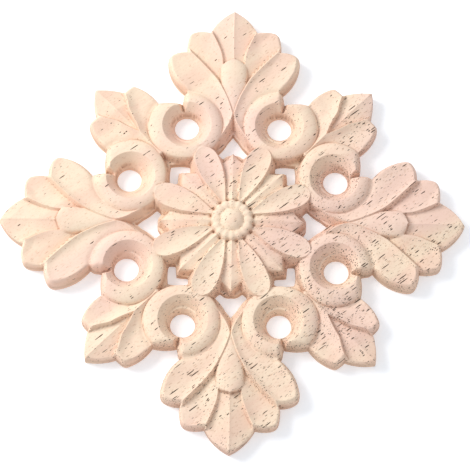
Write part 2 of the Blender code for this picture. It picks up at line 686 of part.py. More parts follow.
def repeat_eight(points, faces):
    """Mirrors the eighth across the arm's axis and turns the pair to the four arms."""
    all_points, all_faces, place = [], [], {}
    for quarter in range(4):
        cosine, sine = round(math.cos(quarter * math.pi / 2)), round(math.sin(quarter * math.pi / 2))
        for side in (1.0, -1.0):
            x, y = side * points[:, 0], points[:, 1]
            turned = np.column_stack((cosine * x + sine * y, cosine * y - sine * x, points[:, 2]))
            index = []
            for point in turned:
                key = tuple(np.round(point / 1e-6).astype(int).tolist())
                if key not in place:
                    place[key] = len(all_points)
                    all_points.append(tuple(point.tolist()))
                index.append(place[key])
            for face in faces:
                loop = [index[v] for v in face]
                all_faces.append(loop if side > 0 else loop[::-1])
    return all_points, all_faces


def clear_scene():
    for old in list(bpy.data.objects):
        bpy.data.objects.remove(old, do_unlink=True)


def wood():
    material = bpy.data.materials.new("raw_wood")
    material.use_nodes = True
    shader = material.node_tree.nodes["Principled BSDF"]
    shader.inputs["Base Color"].default_value = WOOD_COLOUR
    shader.inputs["Roughness"].default_value = WOOD_ROUGHNESS
    shader.inputs["Metallic"].default_value = 0.0
    return material


def build():
    clear_scene()
    points, faces = repeat_eight(*eighth())
    mesh = bpy.data.meshes.new("carved_applique")
    mesh.from_pydata(points, [], faces)
    mesh.validate()
    mesh.materials.append(wood())
    piece = bpy.data.objects.new("carved_applique", mesh)
    bpy.context.scene.collection.objects.link(piece)
    print("corners", len(points), "triangles", len(faces))


build()
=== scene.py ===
# %% [markdown]
# A carved rosette onlay
#
# The object is one flat board of pale raw wood, pierced with sixteen openings and carved in low
# relief: a daisy in the middle, eight scroll rings round it, a spray of five lobes with a bud on
# each of the four arms, and a small three-lobed leaf on each diagonal. It is glued to furniture.
#
# Each cell below does one thing and prints what it made. The carving is one height rule over a
# flat plan. One eighth of the plan is meshed, and a Geometry Nodes tree mirrors it, turns it round
# the centre, welds it and lets it wander a little, as a hand-carved copy does.

# %% Load the frame
import math
from functools import partial

import bpy
import numpy as np
from mathutils import Matrix, Vector
from mathutils.geometry import delaunay_2d_cdt
from mathutils.kdtree import KDTree


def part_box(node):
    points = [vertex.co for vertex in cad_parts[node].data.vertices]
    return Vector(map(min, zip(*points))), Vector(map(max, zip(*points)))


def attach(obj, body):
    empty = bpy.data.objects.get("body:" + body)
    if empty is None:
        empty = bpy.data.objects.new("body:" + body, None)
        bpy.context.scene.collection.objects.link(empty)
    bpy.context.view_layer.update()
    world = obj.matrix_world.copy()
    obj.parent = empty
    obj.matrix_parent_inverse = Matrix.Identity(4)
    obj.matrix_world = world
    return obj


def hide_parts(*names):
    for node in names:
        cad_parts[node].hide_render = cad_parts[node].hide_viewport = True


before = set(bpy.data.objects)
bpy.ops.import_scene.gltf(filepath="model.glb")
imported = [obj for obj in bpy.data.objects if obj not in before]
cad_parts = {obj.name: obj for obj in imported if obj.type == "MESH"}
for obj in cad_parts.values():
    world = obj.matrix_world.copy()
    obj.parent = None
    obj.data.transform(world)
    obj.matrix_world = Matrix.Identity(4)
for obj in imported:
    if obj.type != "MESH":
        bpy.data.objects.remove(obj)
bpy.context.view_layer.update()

# %% [markdown]
# The drawing unit
#
# The plan is drawn 200 across and 13 high. The frame says how large the real part is, so one unit
# of the drawing is worked out from it, and every size below follows if the part is resized.

# %% Work out the unit of the drawing
SPAN = 200.0
low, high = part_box("carved_applique")
UNIT = (high.x - low.x) / SPAN
print(f"one unit of the drawing is {UNIT * 1000:.3f} mm")

# %% [markdown]
# Curves of the plan
#
# A carver draws the outline as a few sweeping curves between notches. Each sweep here is a bow: a
# straight line bent to its left by a share of its length, which needs only two points and one
# number. A chain of bows makes an edge, and softening it rounds the corners between its bows but
# leaves its two ends sharp, because the notches between lobes are cut with a straight chisel.

# %% Draw curves
STEP = 0.6


def bow(start, end, bulge, step=STEP):
    """Curve between two points, bulging to its left by a share of its chord."""
    start, end = np.array(start, float), np.array(end, float)
    chord = end - start
    length = np.hypot(*chord) * (1.0 + 2.0 * bulge * bulge)
    count = max(3, round(length / step))
    t = np.linspace(0.0, 1.0, count + 1)
    normal = np.array([-chord[1], chord[0]])
    return start + np.outer(t, chord) + np.outer(4.0 * bulge * t * (1.0 - t), normal)


def softened(line, passes):
    """Rounds a line's corners and keeps its two ends."""
    for _ in range(passes):
        inner = 0.25 * line[:-2] + 0.5 * line[1:-1] + 0.25 * line[2:]
        line = np.vstack((line[:1], inner, line[-1:]))
    return line


def chain(stops, passes=0):
    """Joins bows through (point, bulge of the bow that follows) into one curve."""
    parts = []
    for (start, bulge), (end, _) in zip(stops[:-1], stops[1:]):
        parts.append(bow(start, end, bulge)[:-1])
    parts.append(np.array([stops[-1][0]], float))
    return softened(np.vstack(parts), passes)


def sector(centre, radius, first, last):
    """Part of a circle between two angles in radians."""
    count = max(3, round(abs(last - first) * radius / STEP))
    turn = np.linspace(first, last, count + 1)
    return np.column_stack((centre[0] + radius * np.cos(turn), centre[1] + radius * np.sin(turn)))


def circle(centre, radius):
    return sector(centre, radius, 0.0, 2.0 * math.pi)[:-1]


def closed(loop):
    """Repeats the first point at the end."""
    return np.vstack((loop, loop[:1]))


print("a bow of 10 units has", len(bow((0, 0), (10, 0), 0.1)), "points")

# %% [markdown]
# Outline of one eighth
#
# The rosette repeats eight times, so only the part between an arm's middle line (x = 0) and the
# diagonal (y = x) is drawn. The outline runs from the arm's tip past the upper and lower lobes,
# over the two ends of the scroll, and out along the side lobe to the diagonal's tip.

# %% Draw the outline and the openings
ARM_TIP = (0.0, 100.0)
LEAF_NOTCH = (10.6, 89.6)
UPPER_LOBE_TOP = (17.4, 89.7)
UPPER_LOBE_SIDE = (20.6, 86.0)
LOBE_NOTCH = (20.7, 80.0)
LOWER_LOBE_TOP = (26.4, 79.0)
LOWER_LOBE_SIDE = (29.3, 74.4)
BULB_START = (20.8, 60.2)
BULB_END = (22.1, 56.8)
SCROLL_MEETING = (22.5, 55.0)
TAPER_END = (24.6, 55.4)
CLUSTER_NOTCH = (32.8, 55.0)
SIDE_LOBE_TOP = (42.6, 62.7)
SIDE_LOBE_END = (45.9, 61.9)
CORNER_NOTCH = (48.1, 60.0)
CORNER_TIP = (61.0, 61.0)

ARM_WINDOW_APEX = (0.0, 41.3)
ARM_WINDOW_SHOULDER = (2.3, 38.5)
ARM_WINDOW_CORNER = (7.0, 32.5)
ARM_WINDOW_HOLLOW = (4.6, 30.2)
ARM_WINDOW_FOOT = (0.0, 32.0)
DIAGONAL_WINDOW_FOOT = (23.4, 23.4)
DIAGONAL_WINDOW_SIDE = (18.3, 23.8)
DIAGONAL_WINDOW_CORNER = (18.2, 26.9)
DIAGONAL_WINDOW_APEX = (26.9, 26.9)

CORNER_PASSES = 6

leaf_edge = chain([(ARM_TIP, 0.085), (LEAF_NOTCH, 0.0)])
upper_lobe_edge = chain([(LEAF_NOTCH, 0.06), (UPPER_LOBE_TOP, 0.2), (UPPER_LOBE_SIDE, 0.06),
                         (LOBE_NOTCH, 0.0)], passes=CORNER_PASSES)
lower_lobe_edge = chain([(LOBE_NOTCH, 0.07), (LOWER_LOBE_TOP, 0.2), (LOWER_LOBE_SIDE, 0.105),
                         (BULB_START, 0.0)], passes=CORNER_PASSES)
bulb_edge = chain([(BULB_START, 0.12), (BULB_END, 0.05), (SCROLL_MEETING, 0.0)])
taper_edge = chain([(SCROLL_MEETING, 0.05), (TAPER_END, 0.05), (CLUSTER_NOTCH, 0.0)], passes=2)
side_lobe_edge = chain([(CLUSTER_NOTCH, 0.08), (SIDE_LOBE_TOP, 0.26), (SIDE_LOBE_END, 0.05),
                        (CORNER_NOTCH, 0.0)], passes=CORNER_PASSES)
corner_leaf_edge = chain([(CORNER_NOTCH, 0.06), (CORNER_TIP, 0.0)])

edges_in_order = [leaf_edge, upper_lobe_edge, lower_lobe_edge, bulb_edge, taper_edge,
                  side_lobe_edge, corner_leaf_edge]
outline = np.vstack([edge[:-1] for edge in edges_in_order] + [np.array([CORNER_TIP])])

arm_window = chain([(ARM_WINDOW_APEX, -0.03), (ARM_WINDOW_SHOULDER, -0.05),
                    (ARM_WINDOW_CORNER, 0.05), (ARM_WINDOW_HOLLOW, -0.16),
                    (ARM_WINDOW_FOOT, 0.0)], passes=2)
diagonal_window = chain([(DIAGONAL_WINDOW_FOOT, -0.02), (DIAGONAL_WINDOW_SIDE, -0.08),
                         (DIAGONAL_WINDOW_CORNER, 0.05), (DIAGONAL_WINDOW_APEX, 0.0)], passes=2)
arm_opening = np.vstack((arm_window, (arm_window[::-1] * (-1.0, 1.0))[1:-1]))
diagonal_opening = np.vstack((diagonal_window, diagonal_window[::-1, ::-1][1:-1]))

RING_CENTRE = (20.33, 44.79)
HOLE_RADIUS = 5.3
hole = circle(RING_CENTRE, HOLE_RADIUS)
print("outline of one eighth:", len(outline), "points")

# %% [markdown]
# Edges inside the plan
#
# Lobes overlap like feathers: each has one raised edge, a step down to its neighbour. These are
# the steps, the strip between ring and window, and the blades. The daisy's petals and the bud of
# each arm share one width rule, and the sepals under the petals spread evenly to a square end.

# %% Draw the steps and the blades
UPPER_STEP_MIDDLE = (6.3, 80.6)
UPPER_STEP_ROOT = (5.0, 72.0)
LOWER_STEP_MIDDLE = (7.7, 66.2)
LOWER_STEP_ROOT = (0.4, 49.6)
STRIP_MIDDLE = (3.3, 42.7)
STRIP_END = (9.8, 34.5)
CORNER_STEP_MIDDLE = (45.5, 50.8)
CORNER_STEP_ROOT = (40.5, 40.5)
STRAP_END = (30.6, 30.6)

upper_step = chain([(LEAF_NOTCH, -0.02), (UPPER_STEP_MIDDLE, -0.06), (UPPER_STEP_ROOT, 0.0)],
                   passes=4)
lower_step = chain([(LOBE_NOTCH, -0.015), (LOWER_STEP_MIDDLE, -0.04), (LOWER_STEP_ROOT, 0.0)],
                   passes=4)
strip_edge = chain([(LOWER_STEP_ROOT, -0.06), (STRIP_MIDDLE, -0.04), (STRIP_END, 0.0)], passes=4)
corner_step = chain([(CORNER_NOTCH, -0.03), (CORNER_STEP_MIDDLE, -0.03), (CORNER_STEP_ROOT, 0.0)],
                    passes=4)

PETAL_ANGLE = math.radians(22.5)
DIAGONAL_ANGLE = math.radians(45.0)


def along(angle, points):
    """Coordinates out along, and across, a direction turned from the arm's axis, and back again."""
    out = points[:, 0] * math.sin(angle) + points[:, 1] * math.cos(angle)
    across = points[:, 0] * math.cos(angle) - points[:, 1] * math.sin(angle)
    return out, across


def blade_width(out, root, widest, tip, half_width, power, tip_power):
    """Half width of a petal or bud at a distance out from the centre."""
    rising = np.clip((out - root) / (widest - root), 0.0, 1.0)
    falling = np.clip((out - widest) / (tip - widest), 0.0, 1.0)
    near = np.sin(0.5 * math.pi * rising ** power)
    far = (1.0 - falling ** tip_power) ** (1.0 / min(tip_power, 2.0))
    return half_width * near * far


def blade(angle, root, widest, tip, half_width, power, tip_power):
    """Outline of a petal or bud about its own axis."""
    near = np.linspace(root, widest, round((widest - root) / STEP) + 1)
    count = round(1.6 * (tip - widest) / STEP)
    far = widest + (tip - widest) * np.sin(np.linspace(0.0, 0.5 * math.pi, count + 1))[1:]
    out = np.concatenate((near, far))
    half = blade_width(out, root, widest, tip, half_width, power, tip_power)
    right = np.column_stack((out, half))
    left = np.column_stack((out, -half))[1:-1][::-1]
    return np.column_stack(along(angle, np.vstack((right, left))))


# Angle, root, widest, tip, half width, and the powers of the root's and the tip's curve
PETAL = (PETAL_ANGLE, 7.5, 27.2, 35.8, 5.05, 1.05, 2.7)
BUD = (0.0, 50.0, 69.5, 75.2, 6.0, 0.95, 2.6)

SEPAL_ROOT = 8.0
SEPAL_ROOT_WIDTH = 2.3
SEPAL_SPREAD = 0.155
SEPAL_TIP = 30.7


def sepal_width(out):
    """Half width of a sepal: it spreads evenly and ends in a square corner."""
    return np.minimum(SEPAL_ROOT_WIDTH + SEPAL_SPREAD * (out - SEPAL_ROOT), SEPAL_TIP - out)


def sepal(angle):
    """Outline of a sepal about its own axis."""
    shoulder = (SEPAL_TIP - SEPAL_ROOT_WIDTH + SEPAL_SPREAD * SEPAL_ROOT) / (1.0 + SEPAL_SPREAD)
    width = SEPAL_TIP - shoulder
    corners = [(SEPAL_ROOT, -SEPAL_ROOT_WIDTH), (shoulder, -width), (SEPAL_TIP, 0.0),
               (shoulder, width), (SEPAL_ROOT, SEPAL_ROOT_WIDTH), (SEPAL_ROOT, -SEPAL_ROOT_WIDTH)]
    return np.column_stack(along(angle, chain([(corner, 0.0) for corner in corners])[:-1]))


print("a petal is", round(2 * PETAL[4] * UNIT * 1000, 1), "mm wide")

# %% [markdown]
# Measuring from a line
#
# Heights depend on how far a point is from an edge. The plain distance makes a crease wherever the
# nearest point jumps, so hollows use a softer one, which adds up the pull of the whole line. On a
# long straight line the two are equal.

# %% Measure distances
LEAST_ASIDE = 0.05


def distance(points, line):
    """Shortest distance from each point to a line."""
    start, run = line[:-1], np.diff(line, axis=0)
    reach = points[:, None, :] - start[None]
    length = np.maximum((run * run).sum(-1), 1e-12)
    share = np.clip((reach * run).sum(-1) / length, 0.0, 1.0)
    gap = reach - share[..., None] * run
    return np.sqrt((gap * gap).sum(-1)).min(1)


def soft_distance(points, line):
    """Distance to a line with no creases: the inverse cube root of its summed pull."""
    start, run = line[:-1], np.diff(line, axis=0)
    length = np.maximum(np.hypot(run[:, 0], run[:, 1]), 1e-6)
    unit = run / length[:, None]
    reach = points[:, None, :] - start[None]
    ahead = (reach * unit).sum(-1)
    aside = np.abs(reach[..., 0] * unit[:, 1] - reach[..., 1] * unit[:, 0])
    aside = np.maximum(aside, LEAST_ASIDE)

    def pull(s):
        near = s / (2.0 * aside ** 2 * (s * s + aside ** 2))
        return near + np.arctan(s / aside) / (2.0 * aside ** 3)

    total = (pull(length - ahead) + pull(ahead)).sum(1)
    return (2.0 / math.pi * total) ** (-1.0 / 3.0)


def inside(points, loop):
    """True where a point lies in a closed loop."""
    x, y = points[:, :1], points[:, 1:2]
    ax, ay = loop[:, 0], loop[:, 1]
    bx, by = np.roll(ax, -1), np.roll(ay, -1)
    rise = np.where(by == ay, 1.0, by - ay)
    crossed = ((ay > y) != (by > y)) & (x < ax + (y - ay) * (bx - ax) / rise)
    return crossed.sum(1) % 2 == 1


def outside_by(points, loop):
    """Distance to a loop from the outside, and zero inside it."""
    return np.where(inside(points, loop), 0.0, distance(points, closed(loop)))


long_line = bow((-50.0, 0.0), (50.0, 0.0), 0.0)
print("two units from a line:", soft_distance(np.array([[0.0, 2.0]]), long_line).round(3))

# %% [markdown]
# Heights that meet like carved wood
#
# Where two surfaces meet in a valley, a gouge leaves a small fillet, and where they meet at an
# edge, sanding leaves a small round. A plain maximum or minimum would leave both knife sharp, so
# they are blended over a given height.

# %% Blend heights
FILLET = 0.2
FINE_FILLET = 0.15
WIDE_FILLET = 0.3
EDGE_ROUND = 0.45
STEP_ROUND = 0.35
WALL_ROUND = 0.12


def upper_of(a, b, radius=FILLET):
    """Higher of two heights, with the valley between them filled."""
    near = np.maximum(radius - np.abs(a - b), 0.0) / radius
    return np.maximum(a, b) + 0.25 * radius * near * near


def lower_of(a, b, radius):
    """Lower of two heights, with the edge between them rounded."""
    return -upper_of(-a, -b, radius)


def wall_down(gap, slope, radius=WALL_ROUND):
    """Fall of a carved wall at a distance outside its edge, which is rounded over."""
    return slope * (np.sqrt(gap * gap + radius * radius) - radius)


print("fillet and round:", FILLET, EDGE_ROUND, "units")

# %% [markdown]
# Leaves and lobes
#
# The middle leaf of an arm has a sharp ridge and two hollow flanks. Its neighbours are spoons: down
# steeply from the raised edge to a gouge line, then gently up to the rim. The same rule makes the
# lobes of the arm and of the diagonal, and the strip that curls round a ring. The upper lobe dips
# beside the lower one, and every lobe dips toward a ring, so that the ring stands clear of it.

# %% Carve leaves and lobes
# Height, half width, drop at the tip, where that drop starts, its length, and where the root ends
ARM_LEAF = (8.0, 9.5, 0.8, 80.0, 20.0, 68.0)
CORNER_LEAF = (7.7, 9.0, 0.6, 72.0, 15.0, 57.0)
CORNER_ROOT_DIP = 1.1
CORNER_DIP_START = 72.0
CORNER_DIP_LENGTH = 8.0
RIDGE_DROP = 2.1
RIDGE_POWER = 0.75
ROOT_SLOPE = 4.0
# Height of the raised edge, and the width from which a lobe is scooped to its full depth
UPPER_LOBE = (8.3, 9.0)
LOWER_LOBE = (9.0, 11.0)
SIDE_LOBE = (8.8, 11.0)
VALLEY_DEPTH = 1.5
VALLEY_REACH = 2.4
LOBE_RIM = 7.3
GOUGE_HEIGHT = 6.7
GOUGE_SHARE = 0.42
DEPTH_POWER = 1.2
RIM_POWER = 1.3
STEP_SLOPE = 2.0
BAND_RADIUS = 15.9
BAND_SWELL = 1.3
SWELL_BEARING = math.radians(-10.0)
TAPER_RADIUS = 12.2
TAPER_TURN = math.radians(40.0)
LOBE_UNDER_RING = 13.2
RIM_UNDER_RING = 13.6
STRAP_SIDE = (30.5, 36.0)
STRAP_RIM = (31.5, 33.6)
CREASE_DEPTH = 1.25
CREASE_REACH = 1.5


def from_ring_centre(points):
    return np.hypot(points[:, 0] - RING_CENTRE[0], points[:, 1] - RING_CENTRE[1])


def bearing(point):
    """Direction from the ring's centre."""
    return math.atan2(point[1] - RING_CENTRE[1], point[0] - RING_CENTRE[0])


def round_ring(start, end, radius):
    """Arc about the ring between the directions of two points, going the way they are given."""
    first, last = bearing(start), bearing(end)
    return sector(RING_CENTRE, radius, first, last if last > first else last + 2.0 * math.pi)


def band_radius(points):
    """Outer radius of the ring toward each point: it thins where the scroll ends."""
    turn = np.arctan2(points[:, 1] - RING_CENTRE[1], points[:, 0] - RING_CENTRE[0])
    past = np.mod(bearing(SCROLL_MEETING) - turn, 2.0 * math.pi)
    swell = BAND_SWELL * np.clip(np.cos(turn - SWELL_BEARING), 0.0, 1.0) ** 2
    taper = np.clip(past / TAPER_TURN, 0.0, 1.0)
    return TAPER_RADIUS + (BAND_RADIUS + swell - TAPER_RADIUS) * taper


def ridge_leaf(out, across, height, half_width, tip_drop, tip_start, tip_length, root):
    """Leaf with a sharp ridge and hollow flanks, lower at its tip and cut off at its root."""
    share = np.clip(np.abs(across) / half_width, 0.0, 1.3)
    leaf = height - RIDGE_DROP * share ** RIDGE_POWER
    leaf = leaf - tip_drop * np.clip((out - tip_start) / tip_length, 0.0, 1.0)
    return leaf - ROOT_SLOPE * np.maximum(root - out, 0.0)


def scoop(points, crest, rim, crest_height, width):
    """Spoon-shaped hollow: down from a raised edge to a gouge line, then up to the rim."""
    from_crest, from_rim = soft_distance(points, crest), soft_distance(points, rim)
    across = from_crest + from_rim
    share = from_crest / across
    depth = np.minimum(1.0, across / width) ** DEPTH_POWER
    gouge = crest_height + depth * (GOUGE_HEIGHT - crest_height)
    rim_height = crest_height + depth * (LOBE_RIM - crest_height)
    inner = np.sin(0.5 * math.pi * np.minimum(share / GOUGE_SHARE, 1.0))
    outer = np.clip((share - GOUGE_SHARE) / (1.0 - GOUGE_SHARE), 0.0, 1.0) ** RIM_POWER
    return crest_height + inner * (gouge - crest_height) + outer * (rim_height - gouge)


under_upper = np.array([(16.0, 72.0), (9.0, 64.0), (3.0, 62.0)])
upper_lobe_loop = np.vstack((upper_lobe_edge, under_upper, upper_step[::-1][:-1]))
lower_lobe_loop = np.vstack((lower_step, strip_edge[1:],
                             round_ring(BULB_START, STRIP_END, LOBE_UNDER_RING)[::-1],
                             lower_lobe_edge[::-1][:-1]))
strap_inner = np.array([(41.3, 39.7), (31.4, 29.8)])
side_lobe_loop = np.vstack((corner_step, strap_inner,
                            round_ring(STRAP_SIDE, CLUSTER_NOTCH, LOBE_UNDER_RING),
                            side_lobe_edge[:-1]))


def leaves_height(points):
    """Middle leaf, lobes and strips of one eighth."""
    leaf = ridge_leaf(points[:, 1], points[:, 0], *ARM_LEAF)
    out, across = along(DIAGONAL_ANGLE, points)
    dip = np.clip((CORNER_DIP_START - out) / CORNER_DIP_LENGTH, 0.0, 1.0)
    corner = ridge_leaf(out, across, *CORNER_LEAF) - CORNER_ROOT_DIP * dip
    height = np.maximum(leaf, corner)

    upper = scoop(points, upper_step, upper_lobe_edge, *UPPER_LOBE)
    upper = upper - VALLEY_DEPTH * np.exp(-distance(points, lower_step) / VALLEY_REACH)
    upper = upper - wall_down(outside_by(points, upper_lobe_loop), STEP_SLOPE)
    height = upper_of(height, upper)

    rim = np.vstack((lower_lobe_edge, round_ring(BULB_START, STRIP_END, RIM_UNDER_RING)))
    crest = np.vstack((lower_step, strip_edge))
    lower = scoop(points, crest, rim, *LOWER_LOBE)
    lower = lower - wall_down(outside_by(points, lower_lobe_loop), STEP_SLOPE, STEP_ROUND)
    height = upper_of(height, lower)

    rim = np.vstack((round_ring(STRAP_RIM, CLUSTER_NOTCH, RIM_UNDER_RING), side_lobe_edge))
    crest = np.vstack((corner_step, [STRAP_END]))
    side = scoop(points, crest, rim, *SIDE_LOBE)
    side = side - wall_down(outside_by(points, side_lobe_loop), STEP_SLOPE)
    height = upper_of(height, side)
    gap = np.maximum(from_ring_centre(points) - band_radius(points), 0.0)
    return height - CREASE_DEPTH * np.exp(-gap / CREASE_REACH)


print("middle of an arm's leaf:", leaves_height(np.array([[0.0, 90.0]])).round(2), "units high")

# %% [markdown]
# Bud, ring and daisy
#
# The bud is a long drop with a domed end that stands over the root of the middle leaf. A ring is a
# funnel down to its hole, a crisp crest, and a band that falls away like a quarter round. The band
# is widest toward the diagonal and thins where the scroll ends, at a notch. The daisy has dished
# petals over ridged sepals, a boss with sixteen beads and a button, and a drilled pit where two
# blades meet the boss. Each could be a mesh of its own, joined by a Boolean, but they are cut from
# one board, so each gives only a height, and the highest one counts.

# %% Carve the bud
BUD_HEIGHT = 10.0
BUD_EDGE_HEIGHT = 7.3
BUD_ROOT_DOME = 0.35
BUD_LEAST_WIDTH = 0.8
BUD_SLOPE = 3.0


def bud_height(points):
    out, across = along(0.0, points)
    half = np.maximum(blade_width(out, *BUD[1:]), BUD_LEAST_WIDTH)
    dome = np.sqrt(np.clip(1.0 - (across / half) ** 2, 0.0, 1.0))
    length = np.clip((out - BUD[1]) / (BUD[2] - BUD[1]), 0.0, 1.0)
    swell = BUD_ROOT_DOME + (1.0 - BUD_ROOT_DOME) * length
    bud = BUD_EDGE_HEIGHT + (BUD_HEIGHT - BUD_EDGE_HEIGHT) * dome * swell
    return bud - wall_down(outside_by(points, blade(*BUD)), BUD_SLOPE)


print("bud where it is widest:", bud_height(np.array([[0.0, BUD[2]]])).round(2), "units high")

# %% Carve the scroll ring
COLLAR_RADIUS = 6.9
CREST_RADIUS = 10.7
CREST_SHIFT = (-0.25, -0.95)
BACK_RADIUS = 18.6
RING_HEIGHT = 9.5
RING_VALLEY = 6.2
COLLAR_HEIGHT = 4.6
COLLAR_DROP = 2.8
FUNNEL_POWER = 0.85
BAND_POWER = 2.1
CREST_ROUND = 0.1
SEAM_HEIGHT = 4.0
SEAM_SLOPE = 2.6
SEAM_ROUND = 0.4


def from_crest_centre(points):
    return np.hypot(points[:, 0] - RING_CENTRE[0] - CREST_SHIFT[0],
                    points[:, 1] - RING_CENTRE[1] - CREST_SHIFT[1])


def ring_height(points):
    """Scroll ring: a funnel down to the hole, a crest and a band outside it."""
    x, y = points[:, 0] - RING_CENTRE[0], points[:, 1] - RING_CENTRE[1]
    radius = from_ring_centre(points)
    from_crest = from_crest_centre(points)
    meeting = bearing(SCROLL_MEETING)
    band = band_radius(points)
    wall = np.clip((from_crest - COLLAR_RADIUS) / (CREST_RADIUS - COLLAR_RADIUS), 0.0, 1.0)
    funnel = COLLAR_HEIGHT + (RING_HEIGHT - COLLAR_HEIGHT) * wall ** FUNNEL_POWER
    collar = np.clip((radius - HOLE_RADIUS) / (COLLAR_RADIUS - HOLE_RADIUS), 0.0, 1.0)
    funnel = np.where(wall > 0.0, funnel, COLLAR_HEIGHT - COLLAR_DROP * (1.0 - collar))
    outer = np.clip((from_crest - CREST_RADIUS) / (band - CREST_RADIUS), 0.0, 1.0)
    skirt = RING_VALLEY + (RING_HEIGHT - RING_VALLEY) * np.sqrt(1.0 - outer ** BAND_POWER)
    skirt = skirt - STEP_SLOPE * np.maximum(radius - band, 0.0)
    inner, over = from_crest < CREST_RADIUS, RING_HEIGHT + 1.0
    height = lower_of(np.where(inner, funnel, over), np.where(inner, over, skirt), CREST_ROUND)
    seam = np.abs(x * math.sin(meeting) - y * math.cos(meeting))
    ahead = x * math.cos(meeting) + y * math.sin(meeting)
    groove = lower_of(height, SEAM_HEIGHT + SEAM_SLOPE * seam, SEAM_ROUND)
    return np.where(ahead > COLLAR_RADIUS - 0.5, groove, height)


west_of_ring = np.array([RING_CENTRE]) + CREST_SHIFT - (CREST_RADIUS, 0.0)
print("crest of a ring:", ring_height(west_of_ring).round(2), "units high")

# %% Carve the daisy
PETAL_HEIGHT = 10.5
PETAL_END_DROP = 0.9
PETAL_ROOT_SHARE = 0.4
PETAL_HOLLOW = 0.95
PETAL_SLOPE = 3.0
SEPAL_HEIGHT = 9.9
SEPAL_TIP_DROP = 1.7
SEPAL_SIDE_DROP = 1.2
SEPAL_POWER = 0.85
BOSS_RADIUS = 9.2
BEAD_RADIUS = 6.9
BUTTON_RADIUS = 5.3
BOSS_FOOT_HEIGHT = 9.6
BOSS_SLOPE = 3.0
BEAD_HEIGHT = 11.4
BUTTON_HEIGHT = 12.9
BEADS = 16
BEAD_DIP = 0.16
PIT_RADIUS = 0.75
PIT_DEPTH = 1.5


def boss_height(points):
    radius = np.hypot(points[:, 0], points[:, 1])
    turn = np.arctan2(points[:, 0], points[:, 1])
    foot = BOSS_FOOT_HEIGHT - BOSS_SLOPE * np.maximum(radius - BOSS_RADIUS, 0.0)
    bead_gap = np.clip(np.abs(radius - BEAD_RADIUS) / (BOSS_RADIUS - BEAD_RADIUS), 0.0, 1.0)
    dip = BEAD_DIP * (1.0 - np.cos(BEADS * turn)) * (radius > BUTTON_RADIUS)
    bead = (BEAD_HEIGHT - BOSS_FOOT_HEIGHT - dip) * np.sqrt(1.0 - bead_gap * bead_gap)
    button_gap = np.clip(radius / BUTTON_RADIUS, 0.0, 1.0)
    button = (BUTTON_HEIGHT - BOSS_FOOT_HEIGHT) * np.sqrt(1.0 - button_gap * button_gap)
    return foot + upper_of(bead, button, WIDE_FILLET)


def pits(points):
    """Depth of the drilled pits at the roots of the blades."""
    depth = np.zeros(len(points))
    for turn in (0.5 * PETAL_ANGLE, 1.5 * PETAL_ANGLE):
        x, y = BOSS_RADIUS * math.sin(turn), BOSS_RADIUS * math.cos(turn)
        gap = np.hypot(points[:, 0] - x, points[:, 1] - y) / PIT_RADIUS
        depth += PIT_DEPTH * np.exp(-gap * gap)
    return depth


def flower_height(points):
    """Petals over sepals, round the boss."""
    out, across = along(PETAL_ANGLE, points)
    half = blade_width(out, *PETAL[1:]) + 1e-3
    share = np.clip(np.abs(across) / np.maximum(half, 1.0), 0.0, 1.0)
    length = np.clip((out - PETAL[1]) / (PETAL[3] - PETAL[1]), 0.0, 1.0)
    root = 1.0 - np.minimum(1.0, length / PETAL_ROOT_SHARE)
    arch = PETAL_HEIGHT - PETAL_END_DROP * root - PETAL_END_DROP * length ** 4
    dish = PETAL_HOLLOW * (1.0 - share * share) * np.sin(math.pi * length) ** 0.5
    height = arch - dish - wall_down(outside_by(points, blade(*PETAL)), PETAL_SLOPE)
    for angle in (0.0, DIAGONAL_ANGLE):
        out, across = along(angle, points)
        length = np.clip((out - SEPAL_ROOT) / (SEPAL_TIP - SEPAL_ROOT), 0.0, 1.0)
        share = np.clip(np.abs(across) / np.maximum(sepal_width(out), 1.5), 0.0, 1.2)
        ridge = SEPAL_HEIGHT - SEPAL_TIP_DROP * length ** 2
        ridge = ridge - SEPAL_SIDE_DROP * share ** SEPAL_POWER
        ridge = ridge - wall_down(outside_by(points, sepal(angle)), PETAL_SLOPE)
        height = upper_of(height, ridge, FINE_FILLET)
    return upper_of(height, boss_height(points), WIDE_FILLET) - pits(points)


print("button of the daisy:", flower_height(np.zeros((1, 2))).round(2), "units high")

# %% [markdown]
# The whole face
#
# The face is the highest of all the features, cut off at its edges by a wall that stands on an
# upright land. The outline has the taller land, and its wall climbs at once and rounds over onto
# the face. The openings have a lower land and a more even slope, as a gouge leaves.

# %% Put the heights together
WEB_HEIGHT = 3.3
LAND_HEIGHT = 2.0
EDGE_LAND = 3.0
EDGE_RISE = 4.3
EDGE_POWER = 0.42
WINDOW_RISE = 6.4
WINDOW_POWER = 0.8


def height_of(points):
    """Height of the carved face over points of one eighth."""
    height = upper_of(WEB_HEIGHT, leaves_height(points))
    height = upper_of(height, bud_height(points), WIDE_FILLET)
    ring = ring_height(points)
    near_ring = np.where(from_ring_centre(points) < BACK_RADIUS, ring, 0.0)
    height = upper_of(height, near_ring, WIDE_FILLET)
    height = np.where(from_crest_centre(points) < CREST_RADIUS, ring, height)
    height = upper_of(height, flower_height(points))
    wall = EDGE_LAND + EDGE_RISE * distance(points, outline) ** EDGE_POWER
    for loop in (arm_opening, diagonal_opening):
        cut = LAND_HEIGHT + WINDOW_RISE * distance(points, closed(loop)) ** WINDOW_POWER
        wall = np.minimum(wall, cut)
    return lower_of(height, wall, EDGE_ROUND)


print("edge and middle of an arm's tip:", height_of(np.array([ARM_TIP, (0.0, 95.0)])).round(2))

# %% [markdown]
# Mesh of one eighth
#
# A grid pushed up by a displacement would blunt every crisp line. So a net of small triangles
# covers the eighth, and its edges follow the steps, crests and outlines. Every corner is lifted to
# the height rule, the back is flat, and an upright land joins the two along the outline and the
# openings. The two seams stay open, because the next eighths close them.

